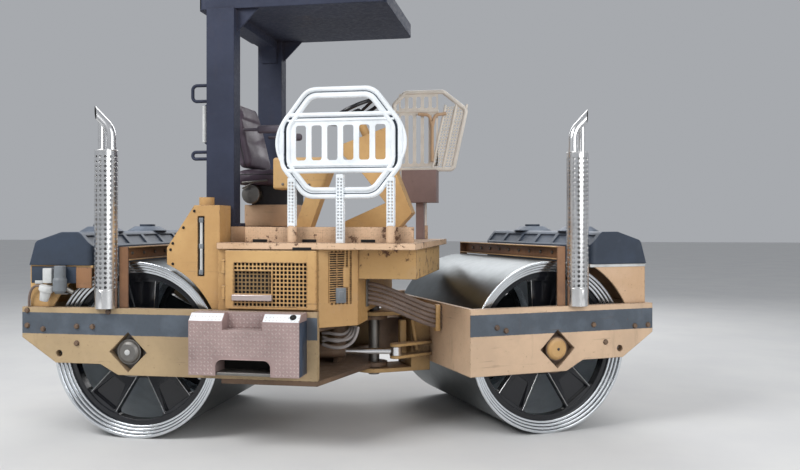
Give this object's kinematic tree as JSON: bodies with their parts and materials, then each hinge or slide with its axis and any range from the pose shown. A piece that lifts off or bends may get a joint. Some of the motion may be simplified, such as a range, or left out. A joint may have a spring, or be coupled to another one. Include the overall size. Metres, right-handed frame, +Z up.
{
  "type": "articulated tandem road roller",
  "caption": "Articulated tandem road roller with spoked smooth drums, slotted guard railings, tall exhaust stacks and an open canopy station; compacts road surfaces.",
  "frame": {"origin": "on the ground under the middle of the machine's bounding box as it stands turned at the hitch", "axes": "+X forward along the rear frame, +Y to the operator's left, +Z up"},
  "size_m": [4.0676, 2.5204, 2.8919],
  "materials": {
    "yellow_paint": "weathered satin",
    "slate_plastic": "dusty matte",
    "slate_paint": "satin",
    "polished_alloy": "polished",
    "black_gloss": "gloss",
    "chrome": "polished",
    "tread_plate": "raised tread",
    "seat_vinyl": "worn vinyl",
    "dark_plastic": "matte",
    "hose_rubber": "matte",
    "bare_steel": "oily"
  },
  "bodies": {
    "rear_frame": {"canopy": "slate_paint", "console": "yellow_paint", "control_box": "dark_plastic", "cylinder_bracket": "yellow_paint", "engine_bay": "yellow_paint", "engine_block": "bare_steel", "far_railing": "chrome", "far_roll_bar_post": "slate_paint", "far_side_tank": "yellow_paint", "hitch_frame": "yellow_paint", "hitch_hoses": "hose_rubber", "hitch_pin": "bare_steel", "near_railing": "chrome", "near_roll_bar_post": "slate_paint", "near_side_tank": "yellow_paint", "platform": "yellow_paint", "rear_axle_bearings": "bare_steel", "rear_exhaust_stack": "chrome", "rear_spray_channel": "yellow_paint", "rear_stack_shield": "chrome", "rear_tank_carrier": "yellow_paint", "rear_water_tank": "slate_plastic", "rear_yoke": "yellow_paint", "seat_back": "seat_vinyl", "seat_base": "dark_plastic", "seat_cushion": "seat_vinyl", "seat_deck": "yellow_paint", "steering_pedestal": "yellow_paint", "steering_wheel": "dark_plastic", "step_box": "tread_plate"},
    "front_frame": {"front_yoke": "yellow_paint", "front_neck": "yellow_paint", "front_axle_bearings": "bare_steel", "front_water_tank": "slate_plastic", "front_tank_carrier": "yellow_paint", "front_spray_channel": "yellow_paint", "front_stack_shield": "chrome", "front_exhaust_stack": "chrome"},
    "rear_drum": {"rear_drum_shell": "polished_alloy", "rear_drum_wheels": "black_gloss"},
    "front_drum": {"front_drum_shell": "polished_alloy", "front_drum_wheels": "black_gloss"},
    "near_door": {"near_engine_door": "yellow_paint"},
    "far_door": {"far_engine_door": "yellow_paint"},
    "steering_barrel": {"steering_barrel": "bare_steel"},
    "steering_rod": {"steering_rod": "chrome"}
  },
  "joints": [
    {"name": "steering", "type": "hinge", "parent": "rear_frame", "child": "front_frame", "pos_m": [0.13122, -0.30016, 0.572], "axis": [0, 0, 1], "range_deg": [-65, 5], "deforming": ["hitch_hoses"]},
    {"name": "rear_drum_spin", "type": "hinge", "parent": "rear_frame", "child": "rear_drum", "pos_m": [-1.29378, -0.30016, 0.57], "axis": [0, 1, 0], "continuous": true},
    {"name": "front_drum_spin", "type": "hinge", "parent": "front_frame", "child": "front_drum", "pos_m": [0.99292, 0.19734, 0.57], "axis": [-0.5, 0.866, 0], "continuous": true},
    {"name": "near_door_hinge", "type": "hinge", "parent": "rear_frame", "child": "near_door", "pos_m": [-0.65878, -1.08716, 1.039], "axis": [0, 0, -1], "range_deg": [0, 110]},
    {"name": "far_door_hinge", "type": "hinge", "parent": "rear_frame", "child": "far_door", "pos_m": [-0.65878, 0.48684, 1.039], "axis": [0, 0, 1], "range_deg": [0, 110]},
    {"name": "cylinder_swing", "type": "hinge", "parent": "rear_frame", "child": "steering_barrel", "pos_m": [-0.60378, -0.60016, 0.522], "axis": [0, 0, 1], "range_deg": [-7, 1]},
    {"name": "cylinder_stroke", "type": "slide", "parent": "steering_barrel", "child": "steering_rod", "axis": [0.9861, 0.1662, 0], "range_m": [-0.245, 0.02]}
  ],
  "couplings": [
    {"joint": "cylinder_swing", "follows": "steering", "ratio": 0.087802},
    {"joint": "cylinder_stroke", "follows": "steering", "m_per_rad": 0.21162}
  ]
}
